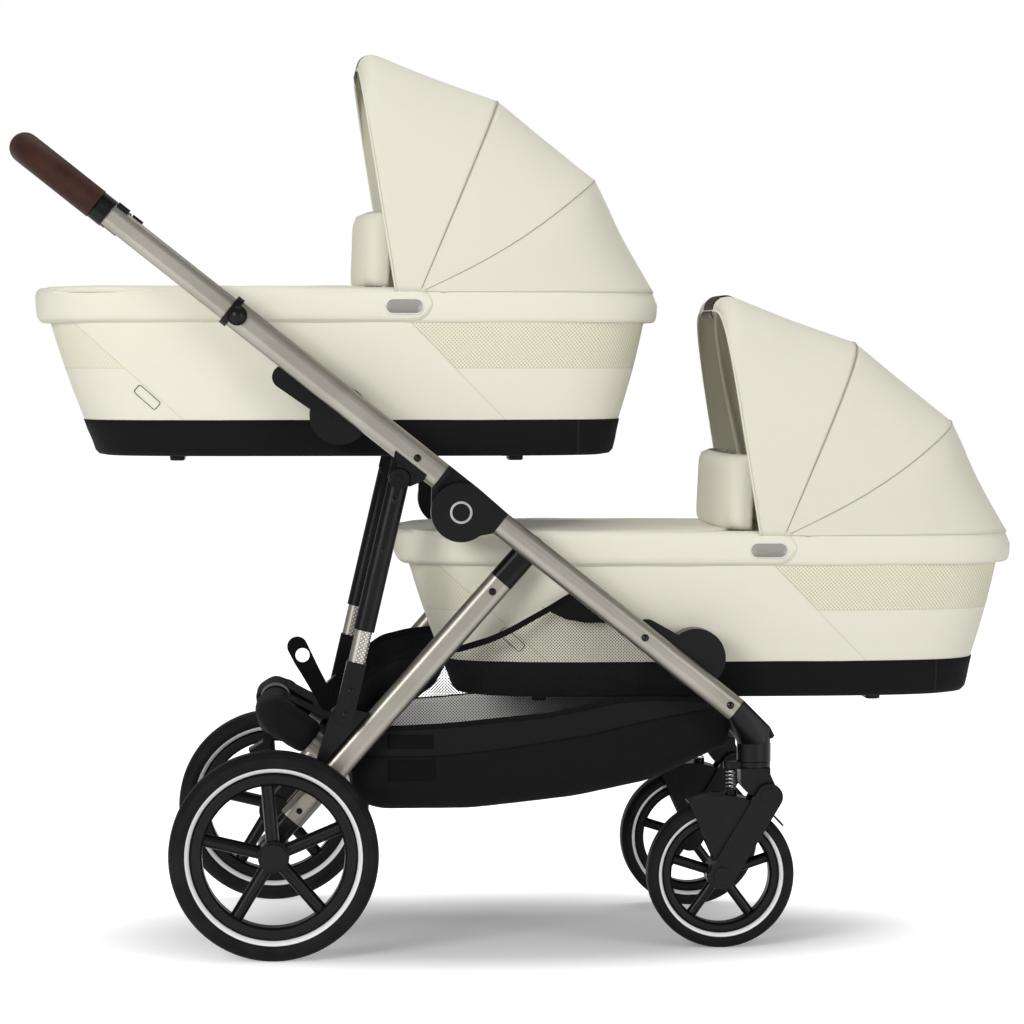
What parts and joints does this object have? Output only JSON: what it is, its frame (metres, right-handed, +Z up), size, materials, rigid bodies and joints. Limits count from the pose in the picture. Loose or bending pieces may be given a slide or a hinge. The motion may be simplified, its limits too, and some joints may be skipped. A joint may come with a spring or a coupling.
{
  "type": "twin pram",
  "caption": "Folding tandem pram with stepped carrycots and hoods, a sliding leather-wrapped push handle, sprung swivel casters and a mesh basket under the frame.",
  "frame": {"origin": "on the floor under the middle of the bounding box", "axes": "+X to the front of the pram, +Y to its left, +Z up"},
  "size_m": [1.3808, 0.646, 1.217],
  "materials": {
    "alu": "satin champagne anodised",
    "black_plastic": "fine matte grain",
    "steel": "brushed",
    "leather": "stitched brown",
    "tyre": "matte rubber",
    "black_cloth": "plain weave",
    "cream_cloth": "plain weave"
  },
  "bodies": {
    "chassis": {"front_legs": "alu", "hinge_lower_shells": "black_plastic", "hinge_rings": "steel", "front_cross_tube": "alu", "caster_heads": "black_plastic", "lower_cot_adapters": "black_plastic", "basket": "black_cloth", "frame_bolts": "black_plastic"},
    "push_arm": {"push_tubes": "alu", "hinge_upper_shells": "black_plastic", "strut_brackets": "black_plastic", "upper_cot_adapters": "black_plastic", "tube_collars": "black_plastic"},
    "handle": {"handle_tube": "alu", "handle_grip": "leather", "grip_collars": "black_plastic"},
    "fold_trigger": {"fold_trigger": "black_plastic"},
    "height_button_left": {"height_button_left": "black_plastic"},
    "height_button_right": {"height_button_right": "black_plastic"},
    "strut": {"strut_sleeves": "black_plastic", "strut_rods": "alu", "strut_links": "black_plastic"},
    "rear_frame": {"rear_legs": "alu", "rear_leg_sockets": "black_plastic", "strut_feet": "black_plastic", "rear_bar": "alu", "axle_housings": "black_plastic"},
    "brake_pedal": {"brake_pedal": "black_plastic"},
    "rear_wheel_left": {"rear_tyre_left": "tyre", "rear_rim_left": "black_plastic"},
    "caster_left": {"caster_fork_left": "black_plastic", "caster_spring_left": "steel"},
    "caster_arm_left": {"swing_arm_left": "black_plastic"},
    "front_wheel_left": {"front_tyre_left": "tyre", "front_rim_left": "black_plastic"},
    "caster_lock_left": {"caster_lock_left": "black_plastic"},
    "rear_wheel_right": {"rear_tyre_right": "tyre", "rear_rim_right": "black_plastic"},
    "caster_right": {"caster_fork_right": "black_plastic", "caster_spring_right": "steel"},
    "caster_arm_right": {"swing_arm_right": "black_plastic"},
    "front_wheel_right": {"front_tyre_right": "tyre", "front_rim_right": "black_plastic"},
    "caster_lock_right": {"caster_lock_right": "black_plastic"},
    "upper_cot": {"upper_tray": "black_cloth", "upper_wall": "cream_cloth", "upper_rim": "cream_cloth", "upper_apron": "cream_cloth", "upper_mattress": "cream_cloth", "upper_canopy": "cream_cloth"},
    "upper_mid_bow": {"upper_bow_mid": "black_plastic"},
    "upper_front_bow": {"upper_bow_front": "black_plastic"},
    "lower_cot": {"lower_tray": "black_cloth", "lower_wall": "cream_cloth", "lower_rim": "cream_cloth", "lower_apron": "cream_cloth", "lower_mattress": "cream_cloth", "lower_canopy": "cream_cloth"},
    "lower_mid_bow": {"lower_bow_mid": "black_plastic"},
    "lower_front_bow": {"lower_bow_front": "black_plastic"}
  },
  "joints": [
    {"name": "frame_fold", "type": "hinge", "parent": "chassis", "child": "push_arm", "pos_m": [-0.08761, 0, 0.595], "axis": [0, -1, 0], "range_deg": [0, 80], "deforming": ["basket"]},
    {"name": "rear_fold", "type": "hinge", "parent": "chassis", "child": "rear_frame", "pos_m": [0.00799, 0, 0.5456], "axis": [0, -1, 0], "range_deg": [0, 40]},
    {"name": "strut_pivot", "type": "hinge", "parent": "push_arm", "child": "strut", "pos_m": [-0.17001, 0, 0.64], "axis": [0, 1, 0], "range_deg": [0, 48.3]},
    {"name": "handle_height", "type": "slide", "parent": "push_arm", "child": "handle", "axis": [0.7837, 0, -0.6211], "range_m": [0, 0.13]},
    {"name": "fold_trigger_slide", "type": "slide", "parent": "handle", "child": "fold_trigger", "axis": [0.7837, 0, -0.6211], "range_m": [0, 0.008], "stiffness_N_per_m": 400, "springref_m": -0.003},
    {"name": "height_button_left_press", "type": "slide", "parent": "push_arm", "child": "height_button_left", "axis": [0, -1, 0], "range_m": [0, 0.003], "stiffness_N_per_m": 800, "springref_m": -0.002},
    {"name": "height_button_right_press", "type": "slide", "parent": "push_arm", "child": "height_button_right", "axis": [0, 1, 0], "range_m": [0, 0.003], "stiffness_N_per_m": 800, "springref_m": -0.002},
    {"name": "brake_press", "type": "hinge", "parent": "rear_frame", "child": "brake_pedal", "pos_m": [-0.33601, 0, 0.322], "axis": [0, -1, 0], "range_deg": [0, 15]},
    {"name": "rear_spin_left", "type": "hinge", "parent": "rear_frame", "child": "rear_wheel_left", "pos_m": [-0.33901, 0.295, 0.14], "axis": [0, 1, 0], "continuous": true},
    {"name": "caster_swivel_left", "type": "hinge", "parent": "chassis", "child": "caster_left", "pos_m": [0.31398, 0.205, 0.253], "axis": [0, 0, 1], "continuous": true},
    {"name": "caster_arm_swing_left", "type": "hinge", "parent": "caster_left", "child": "caster_arm_left", "pos_m": [0.33198, 0.205, 0.207], "axis": [0, 1, 0], "range_deg": [0, 7], "stiffness_Nm_per_rad": 60, "springref_deg": -9.17, "deforming": ["caster_spring_left"]},
    {"name": "front_spin_left", "type": "hinge", "parent": "caster_arm_left", "child": "front_wheel_left", "pos_m": [0.26748, 0.205, 0.1], "axis": [0, 1, 0], "continuous": true},
    {"name": "caster_lock_slide_left", "type": "slide", "parent": "chassis", "child": "caster_lock_left", "axis": [0, 0, -1], "range_m": [0, 0.006]},
    {"name": "rear_spin_right", "type": "hinge", "parent": "rear_frame", "child": "rear_wheel_right", "pos_m": [-0.33901, -0.295, 0.14], "axis": [0, 1, 0], "continuous": true},
    {"name": "caster_swivel_right", "type": "hinge", "parent": "chassis", "child": "caster_right", "pos_m": [0.31398, -0.205, 0.253], "axis": [0, 0, 1], "continuous": true},
    {"name": "caster_arm_swing_right", "type": "hinge", "parent": "caster_right", "child": "caster_arm_right", "pos_m": [0.33198, -0.205, 0.207], "axis": [0, 1, 0], "range_deg": [0, 7], "stiffness_Nm_per_rad": 60, "springref_deg": -9.17, "deforming": ["caster_spring_right"]},
    {"name": "front_spin_right", "type": "hinge", "parent": "caster_arm_right", "child": "front_wheel_right", "pos_m": [0.26748, -0.205, 0.1], "axis": [0, 1, 0], "continuous": true},
    {"name": "caster_lock_slide_right", "type": "slide", "parent": "chassis", "child": "caster_lock_right", "axis": [0, 0, -1], "range_m": [0, 0.006]},
    {"name": "upper_cot_lift", "type": "slide", "parent": "chassis", "child": "upper_cot", "axis": [0.25, 0, 0.9682], "range_m": [0, 0.3]},
    {"name": "upper_canopy_fold", "type": "hinge", "parent": "upper_cot", "child": "upper_mid_bow", "pos_m": [-0.13861, 0, 0.91], "axis": [0, 1, 0], "range_deg": [0, 24], "deforming": ["upper_canopy"]},
    {"name": "upper_canopy_front", "type": "hinge", "parent": "upper_mid_bow", "child": "upper_front_bow", "pos_m": [-0.13861, 0, 0.91], "axis": [0, 1, 0], "range_deg": [0, 21.6]},
    {"name": "lower_cot_lift", "type": "slide", "parent": "chassis", "child": "lower_cot", "axis": [0.9659, 0, 0.2588], "range_m": [0, 0.35]},
    {"name": "lower_canopy_fold", "type": "hinge", "parent": "lower_cot", "child": "lower_mid_bow", "pos_m": [0.35639, 0, 0.579], "axis": [0, 1, 0], "range_deg": [0, 24], "deforming": ["lower_canopy"]},
    {"name": "lower_canopy_front", "type": "hinge", "parent": "lower_mid_bow", "child": "lower_front_bow", "pos_m": [0.35639, 0, 0.579], "axis": [0, 1, 0], "range_deg": [0, 21.6]}
  ],
  "couplings": [
    {"joint": "rear_fold", "follows": "frame_fold", "ratio": 0.5},
    {"joint": "strut_pivot", "follows": "frame_fold", "ratio": 0.6027},
    {"joint": "upper_canopy_front", "follows": "upper_canopy_fold", "ratio": 0.9},
    {"joint": "lower_canopy_front", "follows": "lower_canopy_fold", "ratio": 0.9}
  ]
}
